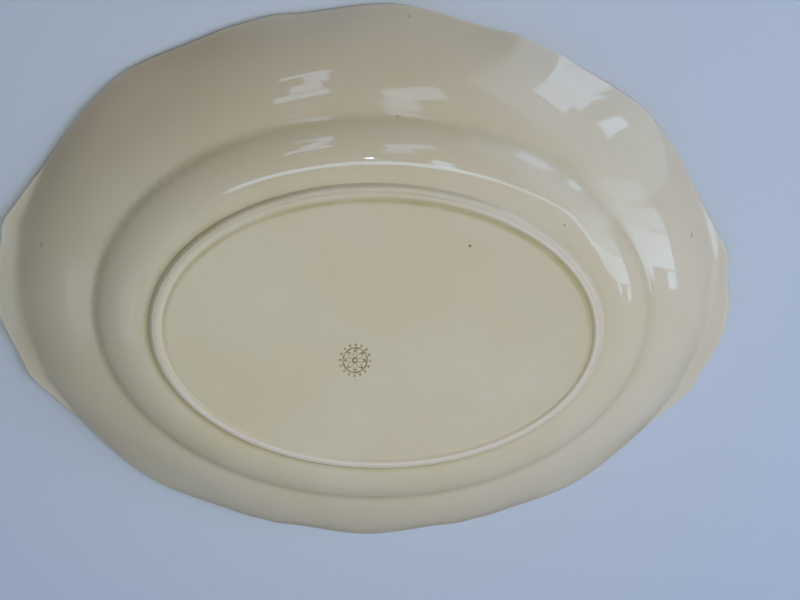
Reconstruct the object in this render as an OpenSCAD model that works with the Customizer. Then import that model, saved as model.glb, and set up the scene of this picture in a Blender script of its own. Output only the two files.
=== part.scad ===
// Oval serving dish: flat well, foot ring, rounded wall, broad flange and scalloped lip.
// Sizes are in millimetres. The dish stands on its foot ring, +Z up, with its length along X.

/* [Rim outline] */
// Overall length, end to end
rim_length = 356; // [340:1:372]
// Overall width, side to side
rim_width = 273; // [261:1:285]
// Distance of an ear from the end of the dish, measured along the length
ear_inset = 9; // [7:0.5:11]
// Distance of an ear from the long centre line
ear_spread = 38; // [35:0.5:41]
// Distance of a shoulder corner from the end of the dish, measured along the length
shoulder_inset = 65; // [61:1:69]
// Distance of a shoulder corner from the side of the dish, measured across the width
shoulder_drop = 34.5; // [32:0.5:37]
// Distance of an outer side corner from the short centre line
outer_spread = 70.5; // [67:0.5:74]
// Distance of an outer side corner from the side of the dish, measured across the width
outer_drop = 14; // [12.5:0.5:15.5]
// Distance of an inner side corner from the short centre line
inner_spread = 51; // [48:0.5:54]
// Distance of an inner side corner from the side of the dish, measured across the width
inner_drop = 7.5; // [6:0.5:9]

/* [Foot ring] */
// Length of the foot ring along its crest
foot_length = 193.4; // [186:0.2:200]
// Width of the foot ring along its crest
foot_width = 129.8; // [124:0.2:136]
// Height of the ring's outside, from the table to where the wall begins
foot_height = 2; // [1.6:0.1:2.6]
// Height of the ring's inside, from the table to the floor's underside
foot_recess = 0.7; // [0.5:0.1:1.2]
// Distance from the crest out to the wall
foot_reach = 4; // [3.6:0.1:4.6]
// Distance from the crest in to the floor's underside
foot_inner = 2.6; // [2.3:0.1:3]
// Width of the flat land that stands on the table
foot_land = 3; // [2.4:0.1:3.6]

/* [Well] */
// Thickness of the floor
floor_thickness = 5; // [4:0.25:6.5]
// Distance from the outside of the foot ring to the crease
wall_reach = 22.6; // [20.6:0.2:24.6]
// Steepest slope of the wall, at the crease, in degrees
wall_slope = 34; // [29:1:39]
// Radius of the hollow crease between wall and flange
crease_radius = 14; // [10:0.5:17]

/* [Flange and lip] */
// Slope of the flange where it leaves the crease, in degrees
flange_start_slope = 16; // [13:1:19]
// Slope of the flange where it meets the lip, in degrees
flange_end_slope = 32; // [31:1:33]
// Thickness of the flange where it meets the lip
flange_thickness = 4.25; // [3.5:0.25:5]
// Width of the lip
lip_width = 12; // [11:0.2:13.6]
// Radius of the bend between flange and lip
lip_bend = 90; // [70:5:95]
// Slope of the lip at its edge along the sides, in degrees
lip_slope = 37; // [35:1:38]
// Thickness of the lip, which is also the width of its rounded edge
lip_thickness = 4; // [3:0.25:4.5]
// Rise of the flange beside the lip between the ears, where the lip flares out flatter
end_flare = 4.2; // [0:0.1:5]
// Distance from the edge to where that rise begins
flare_width = 30; // [27:1:33]

/* [Hidden] */
// Points along each of the five outline spans of a quarter of the rim
SPAN_STEPS = [8, 9, 6, 3, 6];
// Steps along the wall, the crease, the flange and the lip bend
WALL_STEPS = 6;
CREASE_STEPS = 3;
FLANGE_STEPS = 7;
BEND_STEPS = 3;
// How early the wall turns up: 1 turns evenly, less turns up sooner
WALL_EASE = 0.9;
// Pull of the plain oval towards the corners, before the scallops are added
OVAL_PULL = 0.044;
OVAL_SKEW = 0.014;
// Share of the flange, counted from the crease, that carries no scallops
PLAIN_SHARE = 0.5;
// Share of the flare's width that the flat lip takes at the end of the dish, how fast that lip
// narrows to the ears, and rounding of its ridge
FLARE_LIP = 0.27;
FLARE_TAPER = 1.4;
FLARE_SOFT = 0.8;
// Squared cosine of the turn at which the flare has died away, beyond the ears
FLARE_FADE = 0.77;
GLAZE = [0.80, 0.77, 0.68];

// Sum of a list
function total(v, i = 0) = i < len(v) ? v[i] + total(v, i + 1) : 0;

// Slope and rise of the wall at share u of its reach
function wall_angle(u) = wall_slope * pow(u, WALL_EASE);
function wall_rise(u, n = 24) =
    wall_reach * u / n * total([for (k = [0 : n - 1]) tan(wall_angle(u * (k + 0.5) / n))]);

// Places counted outwards from the foot ring's crest
rim_d = (rim_width - foot_width) / 2;
crease_start_d = foot_reach + wall_reach;
crease_start_z = foot_height + wall_rise(1);
crease_d = crease_start_d + crease_radius * (sin(wall_slope) - sin(flange_start_slope));
crease_z = crease_start_z + crease_radius * (cos(flange_start_slope) - cos(wall_slope));
bend_d = rim_d - lip_width;
flange_radius = (bend_d - crease_d) / (sin(flange_end_slope) - sin(flange_start_slope));
bend_z = crease_z + flange_radius * (cos(flange_start_slope) - cos(flange_end_slope));
lip_d = bend_d + lip_bend * (sin(lip_slope) - sin(flange_end_slope));
lip_z = bend_z + lip_bend * (cos(flange_end_slope) - cos(lip_slope));
edge_radius = lip_thickness / 2;
edge_d = rim_d - edge_radius;
edge_start_d = edge_d + edge_radius * sin(lip_slope);
edge_start_z = lip_z + (edge_start_d - lip_d) * tan(lip_slope);
edge_z = edge_start_z + edge_radius * cos(lip_slope);

// Rim outline
function heading(a) = [cos(a), sin(a)];

// One curved span from p to q, leaving at angle a and arriving at angle b
function span(p, q, a, b, n) =
    let (h = norm(q - p) / 3, p1 = p + h * heading(a), q1 = q - h * heading(b))
    [for (i = [0 : n - 1])
        let (u = i / n, v = 1 - u)
        v * v * v * p + 3 * u * v * v * p1 + 3 * u * u * v * q1 + u * u * u * q];

end_crown = [rim_length / 2, 0];
ear = [rim_length / 2 - ear_inset, ear_spread];
shoulder = [rim_length / 2 - shoulder_inset, rim_width / 2 - shoulder_drop];
outer_corner = [outer_spread, rim_width / 2 - outer_drop];
inner_corner = [inner_spread, rim_width / 2 - inner_drop];
side_crown = [0, rim_width / 2];

quarter = concat(
    span(end_crown, ear, 90, 95, SPAN_STEPS[0]),
    span(ear, shoulder, 133, 144, SPAN_STEPS[1]),
    span(shoulder, outer_corner, 146, 152, SPAN_STEPS[2]),
    span(outer_corner, inner_corner, 164, 158, SPAN_STEPS[3]),
    span(inner_corner, side_crown, 178, 180, SPAN_STEPS[4]),
    [side_crown]);
last = len(quarter) - 1;
// The same quarter with its corners rounded over one step on either side
soft = [for (i = [0 : last])
    i == 0 || i == last ? quarter[i] : (quarter[i - 1] + 2 * quarter[i] + quarter[i + 1]) / 4];
outline = concat(
    [for (i = [0 : last - 1]) soft[i]],
    [for (i = [last : -1 : 1]) [0 - soft[i][0], soft[i][1]]],
    [for (i = [0 : last - 1]) [0 - soft[i][0], 0 - soft[i][1]]],
    [for (i = [last : -1 : 1]) [soft[i][0], 0 - soft[i][1]]]);
turns = [for (p = outline) atan2(p[1] * rim_length, p[0] * rim_width)];

// Oval at distance d outside the foot ring's crest, at turn i
function oval(d, i) =
    [(foot_length / 2 + d) * cos(turns[i]), (foot_width / 2 + d) * sin(turns[i])];

// Smooth rim, without its scallops, at turn i
function plain_rim(i) =
    let (t = turns[i], k = 1 - pow(sin(2 * t), 2) * (OVAL_PULL + OVAL_SKEW * cos(2 * t)))
    k * [rim_length / 2 * cos(t), rim_width / 2 * sin(t)];

// How much of the scallops shows at share s of the way from crease to edge
function scallop(s) =
    let (u = max(0, (s - PLAIN_SHARE) / (1 - PLAIN_SHARE)))
    u * u * (3 - 2 * u);

// Place in plan at distance d from the crest, at turn i
function place(d, i) =
    d <= crease_d
        ? oval(d, i)
        : let (s = (d - crease_d) / (rim_d - crease_d), w = scallop(s))
          (1 - s) * oval(crease_d, i) + s * ((1 - w) * plain_rim(i) + w * outline[i]);

// Share of the end flare that shows at turn i
function flare_share(i) = max(0, (pow(cos(turns[i]), 2) - FLARE_FADE) / (1 - FLARE_FADE));

// Rise of the end flare at distance d from the crest, where share s of it shows: a climb up to the
// flat lip's ridge, then a fall to the edge
function flare(d, s) =
    let (u = max(0, (d - edge_d) / flare_width + 1), flat = FLARE_LIP * pow(s, FLARE_TAPER))
    let (climb = pow(u / (1 - flat), 2), fall = (1 - u) / flat)
    let (ridge = sqrt(pow(climb - fall, 2) + pow(FLARE_SOFT * u, 2)))
    end_flare * s * s * (3 - 2 * s) * (climb + fall - ridge) / 2;

// Section of the body: each entry has distance, height, slope and thickness on the underside
function mix(a, b, u) = a + (b - a) * u;

wall_line = [for (i = [0 : WALL_STEPS])
    let (u = i / WALL_STEPS)
    [foot_reach + wall_reach * u, foot_height + wall_rise(u), wall_angle(u), floor_thickness]];
crease_line = [for (i = [0 : CREASE_STEPS])
    let (a = mix(wall_slope, flange_start_slope, i / CREASE_STEPS))
    [crease_start_d + crease_radius * (sin(wall_slope) - sin(a)),
     crease_start_z + crease_radius * (cos(a) - cos(wall_slope)), a, floor_thickness]];
flange_line = [for (i = [1 : FLANGE_STEPS])
    let (u = i / FLANGE_STEPS, a = mix(flange_start_slope, flange_end_slope, u))
    [crease_d + flange_radius * (sin(a) - sin(flange_start_slope)),
     crease_z + flange_radius * (cos(flange_start_slope) - cos(a)), a,
     mix(floor_thickness, flange_thickness, u)]];
bend_line = [for (i = [0 : BEND_STEPS])
    let (u = i / BEND_STEPS, a = mix(flange_end_slope, lip_slope, u))
    [bend_d + lip_bend * (sin(a) - sin(flange_end_slope)),
     bend_z + lip_bend * (cos(flange_end_slope) - cos(a)), a,
     mix(flange_thickness, lip_thickness, u)]];
edge_angles = [lip_slope - 90, (lip_slope - 90) / 2, 0, 30, 60, 90, lip_slope + 90];
edge_line = [for (a = edge_angles)
    [edge_d + edge_radius * cos(a), edge_z + edge_radius * sin(a)]];

function under(line) = [for (p = line) [p[0], p[1]]];
function over(line) = [for (i = [len(line) - 1 : -1 : 0])
    let (p = line[i])
    [p[0] - p[3] * sin(p[2]), p[1] + p[3] * cos(p[2])]];

// Body that carries a closed section all the way round the dish
module ring(section) {
    n = len(turns);
    k = len(section);
    points = [for (i = [0 : n - 1]) for (p = section)
        let (q = place(p[0], i), s = flare_share(i))
        [q[0], q[1], s > 0 ? p[1] + flare(p[0], s) : p[1]]];
    faces = [for (i = [0 : n - 1]) for (j = [0 : k - 1])
        let (i2 = (i + 1) % n, j2 = (j + 1) % k)
        let (a = i * k + j, b = i * k + j2, c = i2 * k + j2, d = i2 * k + j)
        each section[j2][1] >= section[j][1] ? [[a, b, c], [a, c, d]] : [[a, b, d], [b, c, d]]];
    polyhedron(points = points, faces = faces, convexity = 6);
}

// Flat oval floor of the well, thicker inside the foot ring
module well_floor() {
    color(GLAZE) {
        translate([0, 0, foot_height])
            linear_extrude(height = floor_thickness)
                polygon([for (i = [0 : len(turns) - 1]) place(foot_reach, i)]);
        translate([0, 0, foot_recess])
            linear_extrude(height = foot_height + floor_thickness / 2 - foot_recess)
                polygon([for (i = [0 : len(turns) - 1]) place(-foot_inner, i)]);
    }
}

// Raised ring under the floor, cut level where it stands on the table
module foot_ring() {
    land = foot_land / 2;
    section = [
        [-foot_inner, foot_height],
        [-foot_inner, foot_recess],
        [mix(-land, -foot_inner, 0.55), 0.35 * foot_recess],
        [-land, 0],
        [-0.6 * land, -0.3 * foot_height],
        [0.6 * land, -0.3 * foot_height],
        [land, 0],
        [mix(land, foot_reach, 0.5), 0.28 * foot_height],
        [mix(land, foot_reach, 0.8), 0.62 * foot_height],
        [foot_reach, foot_height]];
    color(GLAZE)
        intersection() {
            ring(section);
            translate([-rim_length, -rim_width, 0])
                cube([2 * rim_length, 2 * rim_width, foot_height]);
        }
}

// Rounded wall between floor and crease
module well_wall() {
    color(GLAZE) ring(concat(under(wall_line), over(wall_line)));
}

// Broad flange from the crease to the lip, with the crease itself
module rim_flange() {
    line = concat(crease_line, flange_line);
    color(GLAZE) ring(concat(under(line), over(line)));
}

// Scalloped lip with a rounded edge
module rim_lip() {
    color(GLAZE) ring(concat(under(bend_line), edge_line, over(bend_line)));
}

well_floor();
foot_ring();
well_wall();
rim_flange();
rim_lip();
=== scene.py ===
"""Oval serving dish in ivory glaze: its five glazed pieces, the stage, the lamps and the camera."""

from math import cos, pi, radians, sin, tan

import bpy
import numpy as np
from mathutils import Matrix, Vector


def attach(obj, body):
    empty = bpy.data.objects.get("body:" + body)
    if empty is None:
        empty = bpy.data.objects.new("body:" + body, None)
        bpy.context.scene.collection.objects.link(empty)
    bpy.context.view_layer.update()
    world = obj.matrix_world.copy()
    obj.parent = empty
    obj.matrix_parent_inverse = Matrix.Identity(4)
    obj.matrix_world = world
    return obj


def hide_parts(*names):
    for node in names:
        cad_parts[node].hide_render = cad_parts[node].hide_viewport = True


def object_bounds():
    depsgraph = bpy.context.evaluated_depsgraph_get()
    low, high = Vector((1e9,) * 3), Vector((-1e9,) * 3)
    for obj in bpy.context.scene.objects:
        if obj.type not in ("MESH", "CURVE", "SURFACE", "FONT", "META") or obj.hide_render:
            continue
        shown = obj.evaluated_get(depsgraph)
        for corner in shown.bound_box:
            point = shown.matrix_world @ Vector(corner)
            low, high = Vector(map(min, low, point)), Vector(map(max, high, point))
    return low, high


bl_info = {
    "name": "Oval serving dish",
    "version": (1, 0, 0),
    "blender": (4, 5, 0),
    "location": "View3D > Sidebar > Dish",
    "description": "Dresses the frame of an oval serving dish in ivory glaze",
    "category": "Add Mesh",
}

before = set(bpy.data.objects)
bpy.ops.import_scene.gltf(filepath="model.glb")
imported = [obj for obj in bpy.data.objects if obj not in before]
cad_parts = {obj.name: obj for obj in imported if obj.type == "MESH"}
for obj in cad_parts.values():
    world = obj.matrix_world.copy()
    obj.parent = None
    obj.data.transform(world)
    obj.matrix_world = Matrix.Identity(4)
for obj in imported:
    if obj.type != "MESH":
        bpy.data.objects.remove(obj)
CAD_BOX = [list(corner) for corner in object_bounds()]
CAD_SIZE = [high - low for low, high in zip(*CAD_BOX)]
MM = 0.001
BODY = "root"

# Sampling of the meshes: lines round the dish, and points along each stretch of the section
TURNS = 720
WALL_POINTS = 28
CREASE_POINTS = 14
FLANGE_POINTS = 30
BEND_POINTS = 12
LIP_POINTS = 6
EDGE_POINTS = 20
RING_POINTS = 48
SEAM_GAP = 0.004
SMOOTH_ANGLE = radians(40)
# Rings of the floor's mesh, in metres from the foot ring's crest, closer together towards the ring
FLOOR_RINGS = (-0.08, -0.06, -0.04, -0.02, -0.012, -0.009, -0.007, -0.006, -0.0055, -0.005, -0.0045,
               -0.004, -0.0035, -0.003)
# Steps in working out the wall's rise, one span of the rim's outline, and the rim all the way round
WALL_STEPS = 800
SPAN_STEPS = 120
RIM_STEPS = 1440
# Distance from the axis that counts as on it, and distance at which points are merged, in metres
AXIS_GAP = 1e-7
MERGE_GAP = 1e-6

# Shares that shape the rim: how far and how unevenly the plain oval is flattened between its ends and
# sides, and where on the flange the scallops start
OVAL_PULL = 0.044
OVAL_SKEW = 0.014
PLAIN_SHARE = 0.5
# Distance inside the foot ring's crest, in foot reaches, from which the ovals keep their proportions
EVEN_REACH = 2
# How fast the wall turns from level to its steepest slope
WALL_EASE = 0.9
# Foot ring: how square its bead is, share of its height that the fillet at its root takes, share of
# its width that its root keeps, and depth of that root in the dish in metres
RING_EASE = 3.0
RING_FILLET = 0.35
ROOT_SHARE = 0.96
ROOT_DEPTH = 0.3 * MM
# Headings in degrees at which each span of the rim's outline leaves one corner and reaches the next
RIM_HEADINGS = ((90, 95), (133, 144), (146, 152), (164, 158), (178, 180))
# Rounding of the rim's corners, as a spread of turn, and how many steps of the rim it looks at
CORNER_SPREAD = radians(1.0)
CORNER_STEPS = 40
# End flare: share of its width that the flat lip takes at the end of the dish, how fast that lip
# narrows to the ears, rounding of its ridge, and squared cosine of the turn where it has died away
FLARE_LIP = 0.27
FLARE_TAPER = 1.4
FLARE_SOFT = 0.8
FLARE_FADE = 0.77
# Least share of the flare, below which it is nil
FLARE_LEAST = 1e-6

# Camera: place in metres, its right, up and forward directions, lens and sensor width in millimetres,
# and the nearest distance in metres that it sees
CAMERA_PLACE = (-0.01715, -0.11050, -0.23849)
CAMERA_RIGHT = (0.99529, -0.06509, -0.07178)
CAMERA_UP = (-0.03507, -0.93256, 0.35931)
CAMERA_FORWARD = (0.09033, 0.35510, 0.93045)
CAMERA_LENS = 27.0
CAMERA_SENSOR = 36.0
CAMERA_NEAREST = 0.01


def linear(code):
    """Turns an sRGB hex colour into linear red, green and blue."""
    parts = [int(code[i:i + 2], 16) / 255 for i in (1, 3, 5)]
    return tuple(c / 12.92 if c <= 0.04045 else ((c + 0.055) / 1.055) ** 2.4 for c in parts)


def length(name, description, default):
    """A length in metres for the sidebar."""
    return bpy.props.FloatProperty(
        name=name, description=description, default=default, min=0.0, unit="LENGTH", precision=4)


def slope(name, description, default):
    """An angle for the sidebar, given in degrees."""
    return bpy.props.FloatProperty(
        name=name, description=description, default=radians(default), subtype="ANGLE")


def colour(name, description, code):
    """A colour for the sidebar, given as sRGB hex."""
    return bpy.props.FloatVectorProperty(
        name=name, description=description, default=linear(code), subtype="COLOR", min=0.0, max=1.0)


class DishSizes(bpy.types.PropertyGroup):
    """Sizes of the dish, the same as those of its frame."""

    rim_length: length("Rim length", "Overall length, end to end", CAD_SIZE[0])
    rim_width: length("Rim width", "Overall width, side to side", CAD_SIZE[1])
    ear_inset: length("Ear inset", "Distance of an ear from the end of the dish", 0.009)
    ear_spread: length("Ear spread", "Distance of an ear from the long centre line", 0.038)
    shoulder_inset: length("Shoulder inset", "Distance of a shoulder from the end", 0.065)
    shoulder_drop: length("Shoulder drop", "Distance of a shoulder from the side", 0.0345)
    outer_spread: length("Outer spread", "Distance of an outer corner from the short centre line", 0.0705)
    outer_drop: length("Outer drop", "Distance of an outer corner from the side", 0.014)
    inner_spread: length("Inner spread", "Distance of an inner corner from the short centre line", 0.051)
    inner_drop: length("Inner drop", "Distance of an inner corner from the side", 0.0075)
    foot_length: length("Foot length", "Length of the foot ring along its crest", 0.1934)
    foot_width: length("Foot width", "Width of the foot ring along its crest", 0.1298)
    foot_height: length("Foot height", "Height of the foot ring's outside", 0.002)
    foot_recess: length("Foot recess", "Height of the foot ring's inside", 0.0007)
    foot_reach: length("Foot reach", "Distance from the foot ring's crest out to the wall", 0.004)
    foot_inner: length("Foot inner", "Distance from the foot ring's crest in to the floor", 0.0026)
    floor_thickness: length("Floor thickness", "Thickness of floor and wall", 0.005)
    wall_reach: length("Wall reach", "Distance from the outside of the foot ring to the crease", 0.0226)
    wall_slope: slope("Wall slope", "Steepest slope of the wall", 34)
    crease_radius: length("Crease radius", "Radius of the hollow between wall and flange", 0.014)
    flange_start_slope: slope("Flange start", "Slope of the flange at the crease", 16)
    flange_end_slope: slope("Flange end", "Slope of the flange at the lip", 32)
    flange_thickness: length("Flange thickness", "Thickness of the flange at the lip", 0.00425)
    lip_width: length("Lip width", "Width of the lip", 0.012)
    lip_bend: length("Lip bend", "Radius of the bend between flange and lip", 0.09)
    lip_slope: slope("Lip slope", "Slope of the lip at its edge along the sides", 37)
    lip_thickness: length("Lip thickness", "Thickness of the lip and of its rounded edge", 0.004)
    end_flare: length("End flare", "Rise of the flange beside the lip between the ears", 0.0042)
    flare_width: length("Flare width", "Distance from the edge to where that rise begins", 0.030)


class DishGlaze(bpy.types.PropertyGroup):
    """Colours of the glaze, of what lies on it, and of the shade and highlight painted on it."""

    body: colour("Body", "Main colour of the glaze", "#CBC4AE")
    # Painted shade: a darker, warmer colour laid over one corner of the dish
    corner_shade: colour("Drift", "Colour of the warmer glaze at one corner of the dish", "#C4B699")
    warm: colour("Warm cloud", "Colour of the broad warm clouds in the glaze", "#C7BEA3")
    # Pool: olive pooled glaze, and also painted shade in the crease and beside the foot ring
    pool: colour("Pool", "Colour where the glaze has run together and is thick", "#A29A68")
    # Crest: worn glaze, and also a painted highlight on one side of the foot ring's crest
    crest_wear_and_highlight: colour("Crest", "Colour of the worn crest of the foot ring", "#DCD2CA")
    thin: colour("Thin", "Colour where the glaze is thin, along the edge of the lip", "#CFC9BA")
    grime: colour("Grime", "Colour of wear and specks", "#4A4138")
    ink: colour("Ink", "Colour of the printed rosette under the floor", "#7C5F33")


class DishStage(bpy.types.PropertyGroup):
    """Colour of the floor and level of the light."""

    floor: colour("Floor", "Colour of the floor under the dish", "#BAC5CE")
    sky: bpy.props.FloatProperty(
        name="Sky", description="Level of the even light from all round", default=0.05, min=0.0)
    room: bpy.props.FloatProperty(
        name="Room", description="Level of the room that the glaze mirrors", default=0.2, min=0.0)
    window: bpy.props.FloatProperty(
        name="Window", description="Brightness of the window lamps", default=2.6, min=0.0)


def shares(count):
    """Even shares from 0 to 1, with one more point close to either end for a smooth seam."""
    middle = np.linspace(0, 1, count + 1)[1:-1]
    return np.concatenate(([0, SEAM_GAP], middle, [1 - SEAM_GAP, 1]))


class Profile:
    """Section of the dish: distance out from the foot ring's crest, height, slope and thickness."""

    def __init__(self, sizes):
        s = sizes
        self.sizes = s
        self.half_length = s.foot_length / 2
        self.half_width = s.foot_width / 2
        self.rim_d = (s.rim_width - s.foot_width) / 2
        self.edge_radius = s.lip_thickness / 2
        self.wall = self.wall_line()
        self.crease_start = self.wall[-1, :2]
        self.crease = self.arc_line(self.crease_start, s.crease_radius, s.wall_slope,
                                    s.flange_start_slope, CREASE_POINTS, s.floor_thickness,
                                    s.floor_thickness)
        self.crease_d = self.crease[-1, 0]
        reach = self.rim_d - s.lip_width - self.crease_d
        radius = reach / (sin(s.flange_end_slope) - sin(s.flange_start_slope))
        self.flange = self.arc_line(self.crease[-1, :2], radius, s.flange_start_slope,
                                    s.flange_end_slope, FLANGE_POINTS, s.floor_thickness,
                                    s.flange_thickness)
        self.bend = self.arc_line(self.flange[-1, :2], s.lip_bend, s.flange_end_slope,
                                  s.lip_slope, BEND_POINTS, s.flange_thickness, s.lip_thickness)
        self.lip = self.lip_line()
        self.edge = self.edge_line()

    def wall_line(self):
        """Rounded wall, level at the floor and steepest at the crease."""
        s = self.sizes
        fine = np.linspace(0, 1, WALL_STEPS + 1)
        middle = (fine[1:] + fine[:-1]) / 2
        steps = np.tan(s.wall_slope * middle ** WALL_EASE) * s.wall_reach / len(middle)
        rise = np.concatenate(([0], np.cumsum(steps)))
        u = shares(WALL_POINTS)
        return np.column_stack((s.foot_reach + s.wall_reach * u,
                                s.foot_height + np.interp(u, fine, rise),
                                s.wall_slope * u ** WALL_EASE,
                                np.full_like(u, s.floor_thickness)))

    def arc_line(self, start, radius, first, last, count, thick_first, thick_last):
        """Arc of the given radius that turns from the first slope to the last."""
        u = shares(count)
        a = first + (last - first) * u
        turn = 1 if last > first else -1
        return np.column_stack((start[0] + turn * radius * (np.sin(a) - sin(first)),
                                start[1] + turn * radius * (cos(first) - np.cos(a)),
                                a, thick_first + (thick_last - thick_first) * u))

    def lip_line(self):
        """Straight part of the lip, from its bend to its rounded edge."""
        s = self.sizes
        start = self.bend[-1]
        end_d = self.rim_d - self.edge_radius * (1 - sin(s.lip_slope))
        u = shares(LIP_POINTS)
        run = (end_d - start[0]) * u
        return np.column_stack((start[0] + run, start[1] + run * tan(s.lip_slope),
                                np.full_like(u, s.lip_slope), np.full_like(u, s.lip_thickness)))

    def edge_line(self):
        """Rounded edge of the lip, from its underside to its top."""
        s = self.sizes
        centre = (self.rim_d - self.edge_radius,
                  self.lip[-1, 1] + self.edge_radius * cos(s.lip_slope))
        a = s.lip_slope - pi / 2 + pi * np.linspace(0, 1, EDGE_POINTS + 1)[1:-1]
        return np.column_stack((centre[0] + self.edge_radius * np.cos(a),
                                centre[1] + self.edge_radius * np.sin(a)))

    def over(self, line):
        """The top side of a line, from its outer end to its inner end."""
        d, z, a, thick = line[::-1].T
        return np.column_stack((d - thick * np.sin(a), z + thick * np.cos(a)))

    def outline(self):
        """Turn and relative radius of the scalloped rim all the way round, its corners rounded."""
        s = self.sizes
        a, b = s.rim_length / 2, s.rim_width / 2
        corners = np.array(((a, 0), (a - s.ear_inset, s.ear_spread),
                            (a - s.shoulder_inset, b - s.shoulder_drop),
                            (s.outer_spread, b - s.outer_drop),
                            (s.inner_spread, b - s.inner_drop), (0, b)))
        u = np.linspace(0, 1, SPAN_STEPS + 1)[:, None]
        spans = []
        for p, q, (leave, arrive) in zip(corners[:-1], corners[1:], np.radians(RIM_HEADINGS)):
            handle = np.hypot(*(q - p)) / 3
            p1 = p + handle * np.array((cos(leave), sin(leave)))
            q1 = q - handle * np.array((cos(arrive), sin(arrive)))
            v = 1 - u
            spans.append(v ** 3 * p + 3 * u * v * v * p1 + 3 * u * u * v * q1 + u ** 3 * q)
        x, y = np.concatenate(spans).T
        turn = np.linspace(-pi, pi, RIM_STEPS + 1)
        fold = np.arctan2(np.abs(np.sin(turn)), np.abs(np.cos(turn)))
        sharp = np.interp(fold, np.arctan2(y * a, x * b), np.hypot(x / a, y / b))
        reach = np.arange(-CORNER_STEPS, CORNER_STEPS + 1)
        weight = np.exp(-0.5 * (reach * (turn[1] - turn[0]) / CORNER_SPREAD) ** 2)
        ring = np.concatenate((sharp[-CORNER_STEPS - 1:-1], sharp, sharp[1:CORNER_STEPS + 1]))
        return turn, np.convolve(ring, weight / weight.sum(), mode="valid")

    def place(self, d, turn):
        """Place in plan at distance d from the foot ring's crest, at the given turn."""
        s = self.sizes
        scale = np.interp(turn, *self.outline())
        plain = 1 - np.sin(2 * turn) ** 2 * (OVAL_PULL + OVAL_SKEW * np.cos(2 * turn))
        share = np.clip((d - self.crease_d) / (self.rim_d - self.crease_d), 0, 1)
        fade = np.clip((share - PLAIN_SHARE) / (1 - PLAIN_SHARE), 0, 1)
        fade = fade * fade * (3 - 2 * fade)
        rim = (1 - fade) * plain + fade * scale
        inner = np.minimum(d, self.crease_d)
        narrow = self.narrowing(inner)
        x = (1 - share) * (self.half_length + inner) + share * rim * s.rim_length / 2
        y = (1 - share) * (self.half_length + inner) * narrow + share * rim * s.rim_width / 2
        return x * np.cos(turn), y * np.sin(turn)

    def flare(self, d, turn):
        """Rise of the end flare, which makes the lip flatter between the ears."""
        s = self.sizes
        u = np.maximum(0, (d - self.rim_d + self.edge_radius) / s.flare_width + 1)
        share = np.clip((np.cos(turn) ** 2 - FLARE_FADE) / (1 - FLARE_FADE), FLARE_LEAST, 1)
        flat = FLARE_LIP * share ** FLARE_TAPER
        climb = (u / (1 - flat)) ** 2
        fall = (1 - u) / flat
        ridge = np.hypot(climb - fall, FLARE_SOFT * u)
        return s.end_flare * share * share * (3 - 2 * share) * (climb + fall - ridge) / 2

    def narrowing(self, d):
        """Width over length of the oval at distance d, even inside the foot ring."""
        inside = np.maximum(d, -EVEN_REACH * self.sizes.foot_reach)
        return (self.half_width + inside) / (self.half_length + inside)


# How the glaze lies, stored on the meshes: where it has pooled, with painted shade, where it has
# run thin, where it is worn off, with a painted highlight, where it is chipped, and the distance
# in millimetres from the foot ring's crest
GLAZE_MARKS = ("pool_and_shade_inside", "pool_and_shade_outside", "pool_and_shade_crease", "thin", "wear_and_highlight", "chip", "from_crest")
# Where it lies so under the dish, as distance and spread in millimetres: from the foot ring's inside,
# from its outside, from the start of the crease and from the ring's crest
POOL_AND_SHADE_INSIDE = (-0.6, 1.1)
POOL_AND_SHADE_OUTSIDE = (0.2, 1.2)
POOL_AND_SHADE_CREASE = (1.5, 2.6)
CHIP_LINE = (1.9, 0.4)
# The same on top: faintly round the floor, with its share, and from the start of the crease
UPPER_POOL_AND_SHADE = (0.0, 5.0)
UPPER_POOL_AND_SHADE_SHARE = 0.2
UPPER_CREASE_POOL_AND_SHADE = (-4.0, 2.5)
# Wear of the foot ring's crest, which also carries its painted highlight: what it starts from, and
# height in metres that takes 1 off it
WEAR_AND_HIGHLIGHT_START = 1.2
WEAR_AND_HIGHLIGHT_HEIGHT = 0.06 * MM
# Width of the thin glaze along the edge of the lip, in radii of that edge
THIN_WIDTH = 1.2


def hump(d, landmark, past, spread):
    """A soft hump past a landmark of the section, with d in metres and the rest in millimetres."""
    return np.exp(-((d / MM - landmark - past) / spread) ** 2)


def dress(profile, points, under):
    """Adds to each point of a section how the glaze lies there, and where shade and a highlight
    are painted, in the order of GLAZE_MARKS.
    """
    d = points[:, 0]
    z = points[:, 1]
    reach = profile.sizes.foot_reach / MM
    inner = profile.sizes.foot_inner / MM
    crease = profile.crease_start[0] / MM
    thin = np.clip((d - profile.rim_d) / profile.edge_radius + THIN_WIDTH, 0, 1)
    if under:
        inside = hump(d, -inner, *POOL_AND_SHADE_INSIDE)
        outside = hump(d, reach, *POOL_AND_SHADE_OUTSIDE)
        hollow = hump(d, crease, *POOL_AND_SHADE_CREASE)
        wear_and_highlight = np.clip(WEAR_AND_HIGHLIGHT_START - z / WEAR_AND_HIGHLIGHT_HEIGHT, 0, 1)
        chip = hump(d, 0, *CHIP_LINE)
    else:
        inside = UPPER_POOL_AND_SHADE_SHARE * hump(d, reach, *UPPER_POOL_AND_SHADE)
        outside = np.zeros_like(d)
        hollow = hump(d, crease, *UPPER_CREASE_POOL_AND_SHADE)
        wear_and_highlight = np.zeros_like(d)
        chip = np.zeros_like(d)
    return np.column_stack((d, z, inside, outside, hollow, thin, wear_and_highlight, chip, d / MM))


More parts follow.
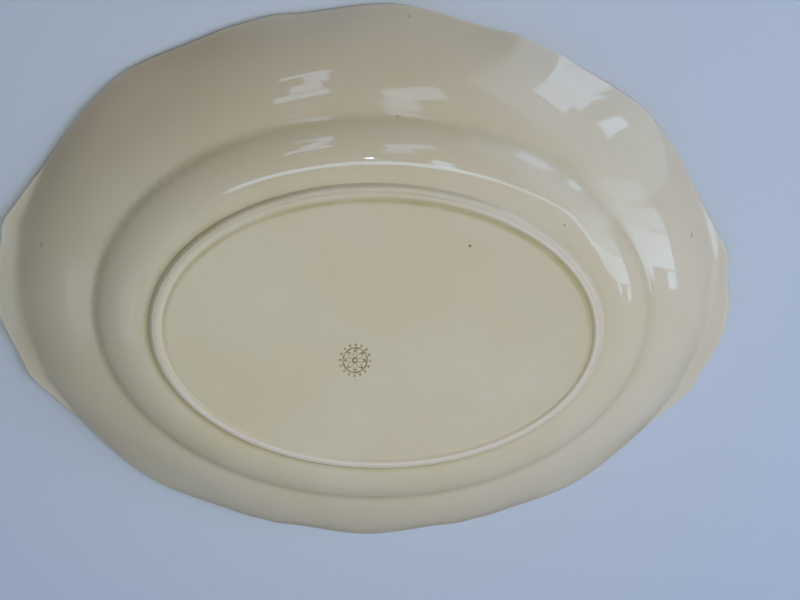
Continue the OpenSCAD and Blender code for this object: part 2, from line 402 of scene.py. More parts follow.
def turned_piece(name, profile, section):
    """Turns a closed section round the dish, draws it out to the oval and returns the piece."""
    bpy.ops.object.select_all(action="DESELECT")
    bpy.ops.mesh.primitive_circle_add(vertices=len(section), radius=profile.edge_radius,
                                      fill_type="NOTHING", location=(0, 0, 0))
    piece = bpy.context.object
    piece.name = name
    piece.data.name = name
    for vertex, row in zip(piece.data.vertices, section):
        vertex.co = (profile.half_length + row[0], 0, row[1])
    axis_edges = [e.index for e in piece.data.edges
                  if all(abs(piece.data.vertices[i].co.x) < AXIS_GAP for i in e.vertices)]
    bpy.ops.object.mode_set(mode="EDIT")
    bpy.ops.mesh.select_mode(type="EDGE")
    if axis_edges:
        bpy.ops.mesh.select_all(action="DESELECT")
        bpy.ops.object.mode_set(mode="OBJECT")
        for i in axis_edges:
            piece.data.edges[i].select = True
        bpy.ops.object.mode_set(mode="EDIT")
        bpy.ops.mesh.delete(type="EDGE_FACE")
    bpy.ops.object.mode_set(mode="OBJECT")
    turner = piece.modifiers.new("turn", "SCREW")
    turner.axis = "Z"
    turner.angle = 2 * pi
    turner.steps = TURNS
    turner.render_steps = TURNS
    turner.use_merge_vertices = True
    turner.merge_threshold = MERGE_GAP
    bpy.ops.object.modifier_apply(modifier=turner.name)
    draw_out(piece, profile, section)
    bpy.ops.object.mode_set(mode="EDIT")
    bpy.ops.mesh.select_all(action="SELECT")
    bpy.ops.mesh.normals_make_consistent(inside=False)
    bpy.ops.object.mode_set(mode="OBJECT")
    bpy.ops.object.shade_smooth_by_angle(angle=SMOOTH_ANGLE)
    return piece


def draw_out(piece, profile, section):
    """Moves a turned piece from its round start to the oval, no higher than the frame, and stores on
    it how the glaze lies."""
    mesh = piece.data
    count = len(mesh.vertices)
    places = np.empty(count * 3, np.float32)
    mesh.vertices.foreach_get("co", places)
    places = places.reshape(-1, 3).astype(float)
    d = np.hypot(places[:, 0], places[:, 1]) - profile.half_length
    turn = np.arctan2(places[:, 1], places[:, 0])
    gap = (d[:, None] - section[None, :, 0]) ** 2 + (places[:, 2][:, None] - section[None, :, 1]) ** 2
    nearest = gap.argmin(axis=1)
    places[:, 0], places[:, 1] = profile.place(section[nearest, 0], turn)
    places[:, 2] += profile.flare(section[nearest, 0], turn)
    places[:, 2] = np.minimum(places[:, 2], CAD_BOX[1][2])
    mesh.vertices.foreach_set("co", places.astype(np.float32).ravel())
    for column, label in enumerate(GLAZE_MARKS, start=2):
        values = section[nearest, column].astype(np.float32)
        mesh.attributes.new(label, "FLOAT", "POINT").data.foreach_set("value", values)
    mesh.update()


def node(tree, kind, sockets=None, out=0, **settings):
    """Adds a node with its settings, sets or links its inputs and returns one of its outputs."""
    made = tree.nodes.new(kind)
    for name, value in settings.items():
        setattr(made, name, value)
    for key, value in (sockets or {}).items():
        if isinstance(value, bpy.types.NodeSocket):
            tree.links.new(value, made.inputs[key])
        else:
            made.inputs[key].default_value = value
    return made.outputs[out] if len(made.outputs) else None


# Settings of a Map Range node that runs softly from one value to the other
SOFT = {"interpolation_type": "SMOOTHSTEP"}
# Settings of a Mix node for colours, which has them at inputs 6 and 7 and at output 2
COLOURS = {"data_type": "RGBA", "out": 2}
# Patterns in the glaze: size from crest to crest in millimetres, and detail
PATTERNS = {
    "cloud": (70, 2.0),
    "mottle": (9, 3.0),
    "run": (14, 2.0),
    "dash": (2.2, 2.0),
    "print": (1.4, 2.0),
    "wave": (24, 1.0),
    "ripple": (5, 1.0),
}
# Ways across the dish to where pooled glaze and painted shade lie inside the foot ring, to where
# they lie outside it, and to where the crest is worn and carries a painted highlight
POOL_AND_SHADE_SIDE_INSIDE = (0.0, -1.0, 0.0)
POOL_AND_SHADE_SIDE_OUTSIDE = (-0.8, 0.6, 0.0)
WEAR_AND_HIGHLIGHT_SIDE = (0.50, 0.87, 0.0)
# Lines that turning left along the crest: width in millimetres, drawn as coarse as they need to show,
# and detail
LINE_WIDTH = 0.6
LINE_DETAIL = 1.0
# Soft ramps in the glaze, by input of the node: 1 and 2 are where a ramp starts and ends, 3 and 4 what
# it gives there. Those along or across the dish start and end at a place in metres.
RAMPS = {
    "warmth": {1: 0.35, 2: 0.68},
    "fine": {1: 0.3, 2: 0.7, 4: 0.22},
    # Where the painted shade at one corner lies: along and across the dish, and short of its edge
    "corner_shade_along": {1: 0.100, 2: -0.020},
    "corner_shade_across": {1: -0.040, 2: -0.095, 4: 0.7},
    "corner_shade_edge": {1: -0.131, 2: -0.112},
    "run": {1: 0.25, 2: 0.7, 3: 0.6, 4: 0.95},
    # Sides where pooled glaze and painted shade lie, inside and outside the foot ring
    "pool_and_shade_side_inside": {1: -0.040, 2: 0.040, 4: 0.85},
    "pool_and_shade_side_outside": {1: -0.045, 2: 0.035, 3: 0.08, 4: 0.6},
    # Side where the crest's wear and painted highlight are strongest
    "wear_and_highlight_side": {1: -0.050, 2: -0.010, 3: 0.1, 4: 0.9},
    "lines": {1: 0.45, 2: 0.62, 4: 0.2},
    "dash": {1: 0.3, 2: 0.6, 3: 0.1, 4: 0.35},
    "one_end": {1: -0.055, 2: -0.085},
    "print": {1: 0.3, 2: 0.6, 3: 0.45, 4: 0.95},
    "dots": {1: 0.2, 2: 0.7},
    "below": {1: 0.002, 2: 0.001},
    "rough": {1: 0.3, 2: 0.7, 3: 0.03, 4: 0.06},
}
# Shares of the thin glaze along the edge, of the pooled glaze and painted shade in the crease, and
# of the specks there
THIN_SHARE = 0.6
CREASE_POOL_AND_SHADE_SHARE = 0.26
SPECK_SHARE = 0.5
# Skin of the glaze: refraction, added roughness where it is worn, and depth of its waves in metres
GLAZE_IOR = 1.5
WORN_ROUGHNESS = 0.12
WAVE_DEPTH = 0.14 * MM
RIPPLE_DEPTH = 0.012 * MM
# Share of a mark's radius that has its full depth
MARK_CORE = 0.6
# Small marks on the glaze: place in metres, radius in metres and depth of colour
MARKS = (
    ((0.0338, -0.0445, 0.0007), 0.0007, 0.85),
    ((0.0734, -0.0548, 0.0025), 0.0006, 0.6),
    ((0.0956, 0.0474, 0.0051), 0.0006, 0.5),
    ((0.0010, -0.0937, 0.0107), 0.0009, 0.25),
    ((0.0045, -0.1316, 0.0296), 0.0009, 0.35),
    ((-0.1485, -0.0308, 0.0216), 0.0012, 0.25),
    ((0.1424, -0.0488, 0.0229), 0.0010, 0.4),
    ((0.1418, -0.0477, 0.0224), 0.0008, 0.3),
)
# Printed rosette: middle in metres, stretch along Y, and its lines as radius, width at which the
# ink fades out and width that is full, all in millimetres
ROSETTE_CENTRE = (-0.0120, 0.0101, 0.0007)
ROSETTE_STRETCH = 1.15
ROSETTE_RINGS = ((1.0, 0.5, 0.2), (5.3, 0.45, 0.2))
PETALS = 8
PETAL_REACH = (1.3, 3.1)
PETAL_LINE = (0.65, 0.3)
DOTS = 16
DOT_RING = (6.6, 0.7, 0.35)


def rosette(tree, coords, uneven):
    """Mask of a small printed rosette: eight petals inside a ring of dots, its ink uneven."""
    shift = node(tree, "ShaderNodeVectorMath", {0: coords, 1: ROSETTE_CENTRE}, operation="SUBTRACT")
    squash = (1 / MM, 1 / (ROSETTE_STRETCH * MM), 0.0)
    flat = node(tree, "ShaderNodeVectorMath", {0: shift, 1: squash}, operation="MULTIPLY")
    r = node(tree, "ShaderNodeVectorMath", {0: flat}, out="Value", operation="LENGTH")
    x = node(tree, "ShaderNodeSeparateXYZ", {0: flat}, out="X")
    y = node(tree, "ShaderNodeSeparateXYZ", {0: flat}, out="Y")
    turn = node(tree, "ShaderNodeMath", {0: y, 1: x}, operation="ARCTAN2")
    leaf = node(tree, "ShaderNodeMath", {0: turn, 1: PETALS / 2}, operation="MULTIPLY")
    leaf = node(tree, "ShaderNodeMath", {0: leaf}, operation="COSINE")
    leaf = node(tree, "ShaderNodeMath", {0: leaf}, operation="ABSOLUTE")
    leaf = node(tree, "ShaderNodeMath", {0: leaf, 1: PETAL_REACH[1], 2: PETAL_REACH[0]},
                operation="MULTIPLY_ADD")
    beads = node(tree, "ShaderNodeMath", {0: turn, 1: DOTS}, operation="MULTIPLY")
    beads = node(tree, "ShaderNodeMath", {0: beads}, operation="COSINE")
    beads = node(tree, "ShaderNodeMapRange", {0: beads, **RAMPS["dots"]}, **SOFT)
    drawn = None
    for radius, faint, full in (DOT_RING, *ROSETTE_RINGS, (leaf, *PETAL_LINE)):
        away = node(tree, "ShaderNodeMath", {0: r, 1: radius}, operation="SUBTRACT")
        away = node(tree, "ShaderNodeMath", {0: away}, operation="ABSOLUTE")
        line = node(tree, "ShaderNodeMapRange", {0: away, 1: faint, 2: full}, **SOFT)
        if drawn is None:
            drawn = node(tree, "ShaderNodeMath", {0: line, 1: beads}, operation="MULTIPLY")
        else:
            drawn = node(tree, "ShaderNodeMath", {0: drawn, 1: line}, operation="MAXIMUM")
    height = node(tree, "ShaderNodeSeparateXYZ", {0: shift}, out="Z")
    below = node(tree, "ShaderNodeMapRange", {0: height, **RAMPS["below"]}, **SOFT)
    drawn = node(tree, "ShaderNodeMath", {0: drawn, 1: below}, operation="MULTIPLY")
    return node(tree, "ShaderNodeMath", {0: drawn, 1: uneven}, operation="MULTIPLY")


def glaze_layers(tree, coords, pattern, lies, colours, printed):
    """What lies over the body colour of the glaze, as pairs of mask and colour, lowest first."""
    warmth = node(tree, "ShaderNodeMapRange", {0: pattern["cloud"], **RAMPS["warmth"]}, **SOFT)
    fine = node(tree, "ShaderNodeMapRange", {0: pattern["mottle"], **RAMPS["fine"]}, **SOFT)

    # Painted shade: darker and warmer towards one corner of the dish, but not at its very edge
    along = node(tree, "ShaderNodeSeparateXYZ", {0: coords}, out="X")
    across = node(tree, "ShaderNodeSeparateXYZ", {0: coords}, out="Y")
    corner_shade = node(tree, "ShaderNodeMapRange", {0: along, **RAMPS["corner_shade_along"]}, **SOFT)
    for key in ("corner_shade_across", "corner_shade_edge"):
        far = node(tree, "ShaderNodeMapRange", {0: across, **RAMPS[key]}, **SOFT)
        corner_shade = node(tree, "ShaderNodeMath", {0: corner_shade, 1: far}, operation="MULTIPLY")

    # Pooled glaze with painted shade, inside the foot ring on one side, outside it on another, and in
    # the crease
    run = node(tree, "ShaderNodeMapRange", {0: pattern["run"], **RAMPS["run"]}, **SOFT)
    sides = {}
    for key, way in (("pool_and_shade_side_inside", POOL_AND_SHADE_SIDE_INSIDE), ("pool_and_shade_side_outside", POOL_AND_SHADE_SIDE_OUTSIDE), ("wear_and_highlight_side", WEAR_AND_HIGHLIGHT_SIDE)):
        towards = node(tree, "ShaderNodeVectorMath", {0: coords, 1: way}, out="Value",
                       operation="DOT_PRODUCT")
        sides[key] = node(tree, "ShaderNodeMapRange", {0: towards, **RAMPS[key]}, **SOFT)
    pool = node(tree, "ShaderNodeMath", {0: lies["pool_and_shade_crease"], 1: CREASE_POOL_AND_SHADE_SHARE}, operation="MULTIPLY")
    for label, key in (("pool_and_shade_outside", "pool_and_shade_side_outside"), ("pool_and_shade_inside", "pool_and_shade_side_inside")):
        pool = node(tree, "ShaderNodeMath", {0: lies[label], 1: sides[key], 2: pool},
                    operation="MULTIPLY_ADD")
    pool = node(tree, "ShaderNodeMath", {0: pool, 1: run}, operation="MULTIPLY")
    thin = node(tree, "ShaderNodeMath", {0: lies["thin"], 1: THIN_SHARE}, operation="MULTIPLY")

    # The crest is paler on one side, from wear and from a painted highlight, and fine lines from its
    # turning show in it
    crest_wear_and_highlight = node(tree, "ShaderNodeMath", {0: lies["wear_and_highlight"], 1: sides["wear_and_highlight_side"]}, operation="MULTIPLY")
    lines = node(tree, "ShaderNodeTexNoise",
                 {"W": lies["from_crest"], "Scale": 1 / LINE_WIDTH, "Detail": LINE_DETAIL},
                 noise_dimensions="1D")
    lines = node(tree, "ShaderNodeMapRange", {0: lines, **RAMPS["lines"]}, **SOFT)
    for mask in (lies["wear_and_highlight"], run):
        lines = node(tree, "ShaderNodeMath", {0: lines, 1: mask}, operation="MULTIPLY")

    # A broken dark line beside the crest and specks in the crease, at the dish's one end only
    dash = node(tree, "ShaderNodeMapRange", {0: pattern["dash"], **RAMPS["dash"]}, **SOFT)
    one_end = node(tree, "ShaderNodeMapRange", {0: along, **RAMPS["one_end"]}, **SOFT)
    chip = node(tree, "ShaderNodeMath", {0: lies["pool_and_shade_crease"], 1: SPECK_SHARE, 2: lies["chip"]},
                operation="MULTIPLY_ADD")
    for mask in (dash, one_end):
        chip = node(tree, "ShaderNodeMath", {0: chip, 1: mask}, operation="MULTIPLY")
    layers = [(warmth, colours.warm), (fine, colours.warm), (corner_shade, colours.corner_shade), (pool, colours.pool),
              (thin, colours.thin), (crest_wear_and_highlight, colours.crest_wear_and_highlight), (lines, colours.grime), (chip, colours.grime)]

    # Single specks and scuffs
    for place, radius, depth in MARKS:
        away = node(tree, "ShaderNodeVectorMath", {0: coords, 1: place}, out="Value",
                    operation="DISTANCE")
        spot = node(tree, "ShaderNodeMapRange", {0: away, 1: radius, 2: MARK_CORE * radius, 4: depth},
                    **SOFT)
        layers.append((spot, colours.grime))
    if printed:
        uneven = node(tree, "ShaderNodeMapRange", {0: pattern["print"], **RAMPS["print"]}, **SOFT)
        layers.append((rosette(tree, coords, uneven), colours.ink))
    return layers


def bare_material(name):
    """A new material and its empty node tree."""
    material = bpy.data.materials.new(name)
    material.use_nodes = True
    material.node_tree.nodes.clear()
    return material, material.node_tree


def glaze_material(name, colours, printed):
    """Ivory lead glaze over earthenware, dipped and fired: a glossy skin with faint warm clouds, olive
    where it pooled beside the foot ring and in the crease, with shade painted there too, paler where
    it ran thin on the lip's edge, painted shade at one corner and a painted highlight on the crest."""
    material, tree = bare_material(name)
    coords = node(tree, "ShaderNodeTexCoord", out="Object")
    pattern = {}
    for key, (size, detail) in PATTERNS.items():
        pattern[key] = node(tree, "ShaderNodeTexNoise",
                            {"Vector": coords, "Scale": 1 / (size * MM), "Detail": detail})
    lies = {label: node(tree, "ShaderNodeAttribute", out="Fac", attribute_name=label)
            for label in GLAZE_MARKS}
    base = (*colours.body, 1)
    for mask, layer in glaze_layers(tree, coords, pattern, lies, colours, printed):
        base = node(tree, "ShaderNodeMix", {0: mask, 6: base, 7: (*layer, 1)}, **COLOURS)

    # The skin is mirror smooth, a little duller where it is mottled and dull where it is worn
    rough = node(tree, "ShaderNodeMapRange", {0: pattern["mottle"], **RAMPS["rough"]}, **SOFT)
    rough = node(tree, "ShaderNodeMath", {0: lies["wear_and_highlight"], 1: WORN_ROUGHNESS, 2: rough},
                 operation="MULTIPLY_ADD")

    # It is slightly wavy, with a finer ripple on the waves
    waves = node(tree, "ShaderNodeBump", {"Height": pattern["wave"], "Distance": WAVE_DEPTH})
    skin = node(tree, "ShaderNodeBump",
                {"Height": pattern["ripple"], "Distance": RIPPLE_DEPTH, "Normal": waves})
    shader = node(tree, "ShaderNodeBsdfPrincipled",
                  {"Base Color": base, "Roughness": rough, "IOR": GLAZE_IOR, "Normal": skin})
    node(tree, "ShaderNodeOutputMaterial", {"Surface": shader})
    return material


def shared_glaze(context, printed=False):
    """The glaze material of all pieces, or the floor's own with the printed rosette."""
    name = "fired_ivory_glaze_printed" if printed else "fired_ivory_glaze"
    found = bpy.data.materials.get(name)
    return found or glaze_material(name, context.scene.dish_glaze, printed)


def finish_piece(context, piece, cad_node, printed=False):
    """Gives a piece its glaze and its place in the frame."""
    piece.data.materials.clear()
    piece.data.materials.append(shared_glaze(context, printed))
    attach(piece, BODY)
    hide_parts(cad_node)
    if not piece.data.polygons:
        raise RuntimeError(piece.name + " has no faces")


class DISH_OT_well_floor(bpy.types.Operator):
    """Make the flat oval floor of the well, with the printed rosette on its underside"""

    bl_idname = "dish.well_floor"
    bl_label = "Well floor"

    def execute(self, context):
        profile = Profile(context.scene.dish_sizes)
        s = profile.sizes
        outer = s.foot_reach
        rings = [-profile.half_length, *FLOOR_RINGS, -s.foot_inner]
        bottom = [(d, s.foot_recess) for d in rings]
        bottom += [(-s.foot_inner, s.foot_height), (outer, s.foot_height)]
        bottom = np.array(bottom)
        top = np.array([(d, s.foot_height + s.floor_thickness) for d in [outer, *reversed(rings)]])
        section = np.concatenate((dress(profile, bottom, True), dress(profile, top, False)))
        piece = turned_piece("glazed_well_floor", profile, section)
        finish_piece(context, piece, "well_floor", printed=True)
        return {"FINISHED"}


class DISH_OT_foot_ring(bpy.types.Operator):
    """Make the rounded foot ring, with soft fillets on both sides"""

    bl_idname = "dish.foot_ring"
    bl_label = "Foot ring"

    def execute(self, context):
        profile = Profile(context.scene.dish_sizes)
        s = profile.sizes
        u = np.linspace(-1, 1, RING_POINTS + 1)
        side = (1 + RING_FILLET) * np.abs(u) ** RING_EASE
        bite = np.maximum(RING_FILLET - np.abs(side - 1), 0) ** 2 / (4 * RING_FILLET)
        lift = np.minimum(side, 1) - bite
        bead = np.column_stack((np.where(u < 0, u * s.foot_inner, u * s.foot_reach),
                                np.where(u < 0, lift * s.foot_recess, lift * s.foot_height)))
        root = np.array(((ROOT_SHARE * s.foot_reach, s.foot_height + ROOT_DEPTH),
                         (-ROOT_SHARE * s.foot_inner, s.foot_recess + ROOT_DEPTH)))
        section = np.concatenate((dress(profile, bead, True), dress(profile, root, False)))
        piece = turned_piece("glazed_foot_ring", profile, section)
        finish_piece(context, piece, "foot_ring")
        return {"FINISHED"}


class DISH_OT_well_wall(bpy.types.Operator):
    """Make the rounded wall between the floor and the crease"""

    bl_idname = "dish.well_wall"
    bl_label = "Well wall"

    def execute(self, context):
        profile = Profile(context.scene.dish_sizes)
        section = np.concatenate((dress(profile, profile.wall[:, :2], True),
                                  dress(profile, profile.over(profile.wall), False)))
        piece = turned_piece("glazed_well_wall", profile, section)
        finish_piece(context, piece, "well_wall")
        return {"FINISHED"}


class DISH_OT_rim_flange(bpy.types.Operator):
    """Make the crease and the broad flange up to the lip"""

    bl_idname = "dish.rim_flange"
    bl_label = "Rim flange"

    def execute(self, context):
        profile = Profile(context.scene.dish_sizes)
        line = np.concatenate((profile.crease, profile.flange[1:]))
        section = np.concatenate((dress(profile, line[:, :2], True),
                                  dress(profile, profile.over(line), False)))
        piece = turned_piece("glazed_rim_flange", profile, section)
        finish_piece(context, piece, "rim_flange")
        return {"FINISHED"}


class DISH_OT_rim_lip(bpy.types.Operator):
    """Make the scalloped lip with its rounded edge"""

    bl_idname = "dish.rim_lip"
    bl_label = "Rim lip"

    def execute(self, context):
        profile = Profile(context.scene.dish_sizes)
        line = np.concatenate((profile.bend, profile.lip[1:]))
        section = np.concatenate((dress(profile, line[:, :2], True),
                                  dress(profile, profile.edge, True),
                                  dress(profile, profile.over(line), False)))
        piece = turned_piece("glazed_rim_lip", profile, section)
        finish_piece(context, piece, "rim_lip")
        return {"FINISHED"}


# Windows that the underside mirrors: name, azimuth and elevation of the two ends of the middle
# line, height across that line, all in degrees, and brightness as a share of the window level
UNDER_WINDOWS = (
    ("left_pane_top", -24.0, 39.8, -11.5, 40.2, 1.4, 1.0),
    ("left_pane_high", -18.4, 42.8, -12.4, 42.8, 3.8, 1.0),
    ("left_pane_mid", -22.5, 46.3, -15.0, 46.5, 3.2, 1.0),
    ("left_pane_low", -29.0, 49.2, -13.4, 50.0, 2.8, 1.0),
    ("left_slat", -26.8, 53.9, -21.1, 54.6, 0.8, 0.6),
    ("left_slat_low", -27.6, 58.0, -22.0, 58.6, 0.8, 0.5),
    ("middle_pane", 3.5, 53.0, 19.1, 47.4, 5.0, 0.75),
    ("middle_pane_low", 4.0, 58.4, 14.0, 55.2, 5.5, 0.6),
    ("right_pane_top", 36.6, 25.0, 45.5, 25.0, 6.0, 0.8),
    ("right_pane_high", 37.0, 19.0, 47.5, 19.0, 6.0, 0.8),
    ("right_pane_mid", 37.2, 12.0, 46.4, 12.0, 8.0, 0.8),
    ("right_pane_low", 37.7, 4.0, 44.4, 4.0, 8.0, 0.8),
    ("right_veil", 26.0, 21.0, 72.0, 21.0, 38.0, 0.28),
    ("far_pane", 52.3, 18.4, 56.4, 18.9, 5.2, 1.0),
    ("door_side", 66.0, 33.5, 75.0, 33.5, 23.0, 0.35),
    ("door_half", 75.0, 33.5, 82.0, 33.5, 23.0, 0.7),
    ("door", 82.0, 34.0, 94.0, 34.0, 24.0, 1.0),
    ("door_low", 94.0, 25.0, 98.5, 24.5, 5.5, 1.0),
    ("door_high", 94.0, 36.0, 98.6, 35.2, 4.0, 1.0),
    ("side_line", 50.7, 60.1, 66.5, 45.5, 2.5, 1.0),
    ("side_line_low", 66.5, 45.5, 84.0, 46.0, 3.0, 1.0),
    ("roof_line", -62.8, 62.2, 50.7, 60.1, 4.2, 1.4),
    ("roof_blob", 25.5, 64.0, 33.0, 63.0, 6.0, 1.6),
    ("glint", -2.0, 67.3, -0.8, 67.3, 1.0, 70.0),
    ("left_glow", -124.0, 36.0, -100.0, 40.0, 20.0, 0.2),
)
# Windows for the dish seen from above, given in the same way
UPPER_WINDOWS = (
    ("upper_left", 130.0, 48.0, 170.0, 48.0, 20.0, 0.6),
    ("upper_right", -128.0, 40.0, -102.0, 40.0, 18.0, 0.6),
    ("upper_back", -4.0, 60.0, 44.0, 60.0, 10.0, 0.6),
)
# Tint of all windows, and their distance in metres
WINDOW_TINT = (0.70, 1.0, 1.40)
WINDOW_DISTANCE = 8.0
# Soft lamps that no reflection shows: name, place in metres, size in metres, and level of red,
# green and blue. The near one fades towards the rim, and the key lights the right of the view.
SOFT_LAMPS = (
    ("near_under", (0.0, 0.0, -0.42), 0.24, (2.9, 2.33, 0.3)),
    ("key_under", (1.266, -0.339, -0.918), 1.1, (4.6, 5.2, 7.4)),
    ("fill_under", (-0.867, 0.867, -1.028), 1.0, (1.7, 2.2, 3.4)),
)
# Even light from above, which no reflection shows: name, azimuth and elevation in degrees, level
SKY_LAMPS = (
    ("key_over", 150.0, 55.0, 2.2),
    ("fill_over", -60.0, 60.0, 1.36),
)
SKY_SOFTNESS = radians(30)
# Shortest way in plan that still says how a lamp's width runs. A lamp closer to the axis runs along X.
LEAST_SIDE = 0.01
# Flags that keep the windows on one side of the dish out of the other: their sizes as shares of the
# foot ring's half length and half width, their top and bottom in metres, and how many sides they have
FLAG_SHARES = (0.6, 1.0, 1.25, 1.5)
FLAG_SPAN = (-0.002, -0.9)
FLAG_SIDES = 64
# Floor: width, gap to the dish, and the ramp by which it fades into the room, in metres from the dish
# and by input as in RAMPS, and cuts across each sheet
FLOOR_WIDTH = 8.0
FLOOR_GAP = 0.05 * MM
FLOOR_FADE = {1: 1.2, 2: 3.6}
FLOOR_CUTS = 3


def direction(azimuth, elevation, below):
    """Direction from the dish, with azimuth counted clockwise from the far side of the view."""
    a, e = radians(azimuth), radians(elevation)
    flat = Vector((sin(a) * cos(e), cos(a) * cos(e), sin(e)))
    return Vector((flat.x, -flat.y, -flat.z)) if below else flat


def hide_from(thing, *rays):
    """Keeps a stage piece out of the given kinds of rays."""
    for ray in rays:
        setattr(thing, "visible_" + ray, False)


def lamp(name, place, width, height, level, along=None):
    """Adds a soft rectangular lamp aimed at the dish: its size in metres, its level in red, green
    and blue, and the way that its width runs, level with the table if none is given."""
    light = bpy.data.lights.new(name, "AREA")
    light.shape = "RECTANGLE"
    light.size = width
    light.size_y = height
    light.energy = pi * width * height
    light.color = level
    return aimed(name, light, place, along)


def aimed(name, light, place, along=None):
    """Puts a light at a place, facing the dish, hidden from the camera."""
    holder = bpy.data.objects.new(name, light)
    bpy.context.scene.collection.objects.link(holder)
    axis = Vector(place).normalized()
    side = Vector(along or (-axis.y, axis.x, 0))
    if side.length < LEAST_SIDE:
        side = Vector((1, 0, 0))
    side = (side - axis * side.dot(axis)).normalized()
    turn = Matrix((side, axis.cross(side), axis)).transposed()
    holder.matrix_world = Matrix.Translation(place) @ turn.to_4x4()
    hide_from(holder, "camera")
    return holder


def floor_material(stage):
    """Plain matt paper: pale, seen from its front only, so that the dish shows from either side."""
    material, tree = bare_material("pale_paper")
    paper = node(tree, "ShaderNodeBsdfDiffuse", {"Color": (*stage.floor, 1)})
    clear = node(tree, "ShaderNodeBsdfTransparent")
    back = node(tree, "ShaderNodeNewGeometry", out="Backfacing")
    coords = node(tree, "ShaderNodeTexCoord", out="Object")
    away = node(tree, "ShaderNodeVectorMath", {0: coords}, out="Value", operation="LENGTH")
    fade = node(tree, "ShaderNodeMapRange", {0: away, **FLOOR_FADE}, **SOFT)
    unseen = node(tree, "ShaderNodeMath", {0: back, 1: fade}, operation="MAXIMUM")
    either = node(tree, "ShaderNodeMixShader", {0: unseen, 1: paper, 2: clear})
    node(tree, "ShaderNodeOutputMaterial", {"Surface": either})
    return material


def flag_material(stage):
    """Grey card as bright as the room, seen from outside the flags only."""
    material, tree = bare_material("room_grey_card")
    card = node(tree, "ShaderNodeEmission", {"Strength": stage.room})
    clear = node(tree, "ShaderNodeBsdfTransparent")
    back = node(tree, "ShaderNodeNewGeometry", out="Backfacing")
    either = node(tree, "ShaderNodeMixShader", {0: back, 1: card, 2: clear})
    node(tree, "ShaderNodeOutputMaterial", {"Surface": either})
    return material


def reflection_flag(name, half_length, half_width, material):
    """Adds an oval flag round the middle of the dish, below it, that only mirrored rays see."""
    top, bottom = FLAG_SPAN
    bpy.ops.object.select_all(action="DESELECT")
    bpy.ops.mesh.primitive_cylinder_add(vertices=FLAG_SIDES, radius=1.0, depth=top - bottom,
                                        end_fill_type="NOTHING", location=(0, 0, 0))
    flag = bpy.context.object
    flag.name = name
    bpy.ops.object.mode_set(mode="EDIT")
    bpy.ops.mesh.select_all(action="SELECT")
    bpy.ops.transform.resize(value=(half_length, half_width, 1))
    bpy.ops.transform.translate(value=(0, 0, (top + bottom) / 2))
    bpy.ops.mesh.normals_make_consistent(inside=False)
    bpy.ops.object.mode_set(mode="OBJECT")
    flag.data.materials.append(material)
    hide_from(flag, "camera", "diffuse", "transmission", "shadow")


def floor_sheet(name, height, faces_down, material):
    """Adds one floor, seen by the camera only, facing up or down."""
    bpy.ops.object.select_all(action="DESELECT")
    bpy.ops.mesh.primitive_plane_add(size=FLOOR_WIDTH, location=(0, 0, 0))
    sheet = bpy.context.object
    sheet.name = name
    bpy.ops.object.mode_set(mode="EDIT")
    bpy.ops.mesh.select_all(action="SELECT")
    if faces_down:
        bpy.ops.mesh.flip_normals()
    bpy.ops.mesh.subdivide(number_cuts=FLOOR_CUTS)
    bpy.ops.transform.translate(value=(0, 0, height))
    bpy.ops.object.mode_set(mode="OBJECT")
    sheet.data.materials.append(material)
    hide_from(sheet, "diffuse", "glossy", "transmission", "shadow")


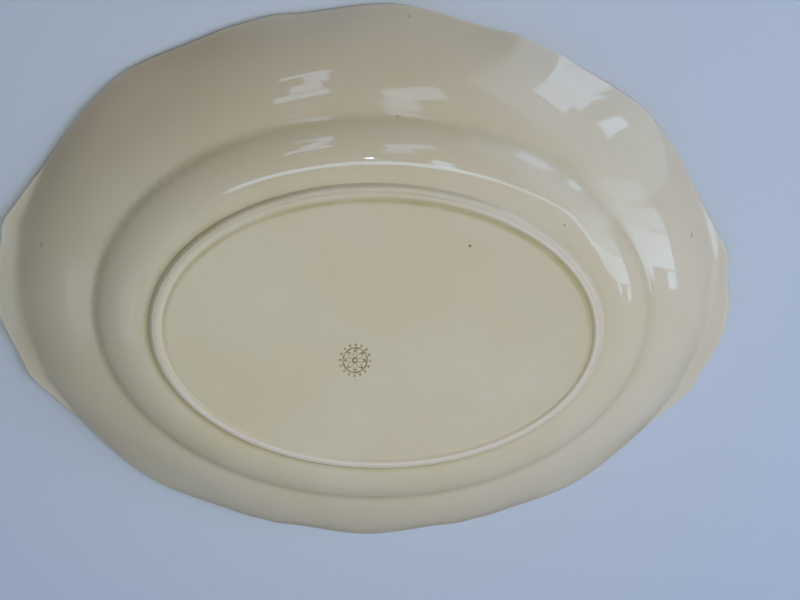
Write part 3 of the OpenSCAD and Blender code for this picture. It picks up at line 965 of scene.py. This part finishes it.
class DISH_OT_stage(bpy.types.Operator):
    """Make the floors, the lamps, the even light and the camera"""

    bl_idname = "dish.stage"
    bl_label = "Stage"

    def execute(self, context):
        stage = context.scene.dish_stage
        paper = floor_material(stage)
        floor_sheet("floor_under_foot", -FLOOR_GAP, False, paper)
        floor_sheet("floor_under_rim", CAD_BOX[1][2] + FLOOR_GAP, True, paper)
        self.windows(stage)
        for name, place, size, level in SOFT_LAMPS:
            hide_from(lamp(name, place, size, size, level), "glossy")
        for name, azimuth, elevation, level in SKY_LAMPS:
            sky = bpy.data.lights.new(name, "SUN")
            sky.energy = level
            sky.angle = SKY_SOFTNESS
            hide_from(aimed(name, sky, direction(azimuth, elevation, False)), "glossy")
        sizes = context.scene.dish_sizes
        card = flag_material(stage)
        for share in FLAG_SHARES:
            half_length = share * sizes.foot_length / 2
            half_width = share * sizes.foot_width / 2
            reflection_flag(f"flag_{share}", half_length, half_width, card)
        self.even_light(context, stage)
        self.camera(context)
        context.scene.view_settings.view_transform = "Standard"
        return {"FINISHED"}

    def windows(self, stage):
        """Bright panes and lines that only the glaze's mirror skin shows, on both sides of the dish."""
        for rows, below in ((UNDER_WINDOWS, True), (UPPER_WINDOWS, False)):
            for name, azimuth, elevation, last_azimuth, last_elevation, height, share in rows:
                first = direction(azimuth, elevation, below)
                last = direction(last_azimuth, last_elevation, below)
                place = (first + last).normalized() * WINDOW_DISTANCE
                width = 2 * WINDOW_DISTANCE * tan(first.angle(last) / 2)
                across = 2 * WINDOW_DISTANCE * tan(radians(height) / 2)
                level = [share * stage.window * c for c in WINDOW_TINT]
                hide_from(lamp(name, place, width, across, level, last - first), "diffuse")

    def even_light(self, context, stage):
        """Pale world: plain light on the dish, and the floor's own colour behind it."""
        world = bpy.data.worlds.new("pale_room")
        context.scene.world = world
        world.use_nodes = True
        tree = world.node_tree
        tree.nodes.clear()
        seen = node(tree, "ShaderNodeLightPath", out="Is Camera Ray")
        mirrored = node(tree, "ShaderNodeLightPath", out="Is Glossy Ray")
        strength = node(tree, "ShaderNodeMapRange", {0: mirrored, 3: stage.sky, 4: stage.room})
        strength = node(tree, "ShaderNodeMath", {0: seen, 1: strength}, operation="MAXIMUM")
        white = (1.0, 1.0, 1.0, 1)
        tint = node(tree, "ShaderNodeMix", {0: seen, 6: white, 7: (*stage.floor, 1)}, **COLOURS)
        light = node(tree, "ShaderNodeBackground", {"Color": tint, "Strength": strength})
        node(tree, "ShaderNodeOutputWorld", {"Surface": light})

    def camera(self, context):
        """Camera at the photograph's viewing angle, looking at the underside."""
        data = bpy.data.cameras.new("view")
        data.lens = CAMERA_LENS
        data.sensor_width = CAMERA_SENSOR
        data.clip_start = CAMERA_NEAREST
        holder = bpy.data.objects.new("view", data)
        context.scene.collection.objects.link(holder)
        turn = Matrix((CAMERA_RIGHT, CAMERA_UP, [-v for v in CAMERA_FORWARD])).transposed()
        holder.matrix_world = Matrix.Translation(CAMERA_PLACE) @ turn.to_4x4()
        context.scene.camera = holder


class DISH_PT_sidebar(bpy.types.Panel):
    """Sizes, colours and steps of the dish"""

    bl_idname = "DISH_PT_sidebar"
    bl_label = "Oval serving dish"
    bl_space_type = "VIEW_3D"
    bl_region_type = "UI"
    bl_category = "Dish"

    def draw(self, context):
        for operator in OPERATORS:
            self.layout.operator(operator.bl_idname)
        for group in (context.scene.dish_sizes, context.scene.dish_glaze, context.scene.dish_stage):
            for name in group.__annotations__:
                self.layout.prop(group, name)


OPERATORS = (DISH_OT_well_floor, DISH_OT_foot_ring, DISH_OT_well_wall, DISH_OT_rim_flange,
             DISH_OT_rim_lip, DISH_OT_stage)
CLASSES = (DishSizes, DishGlaze, DishStage, *OPERATORS, DISH_PT_sidebar)


def register():
    """Makes the add-on's classes and settings known to Blender."""
    for cls in CLASSES:
        bpy.utils.register_class(cls)
    bpy.types.Scene.dish_sizes = bpy.props.PointerProperty(type=DishSizes)
    bpy.types.Scene.dish_glaze = bpy.props.PointerProperty(type=DishGlaze)
    bpy.types.Scene.dish_stage = bpy.props.PointerProperty(type=DishStage)


def unregister():
    """Takes the add-on's classes and settings out of Blender."""
    del bpy.types.Scene.dish_stage
    del bpy.types.Scene.dish_glaze
    del bpy.types.Scene.dish_sizes
    for cls in reversed(CLASSES):
        bpy.utils.unregister_class(cls)


def main():
    """Builds the dish piece by piece, then its stage."""
    register()
    bpy.ops.dish.well_floor()
    bpy.ops.dish.foot_ring()
    bpy.ops.dish.well_wall()
    bpy.ops.dish.rim_flange()
    bpy.ops.dish.rim_lip()
    bpy.ops.dish.stage()


if __name__ == "__main__":
    main()
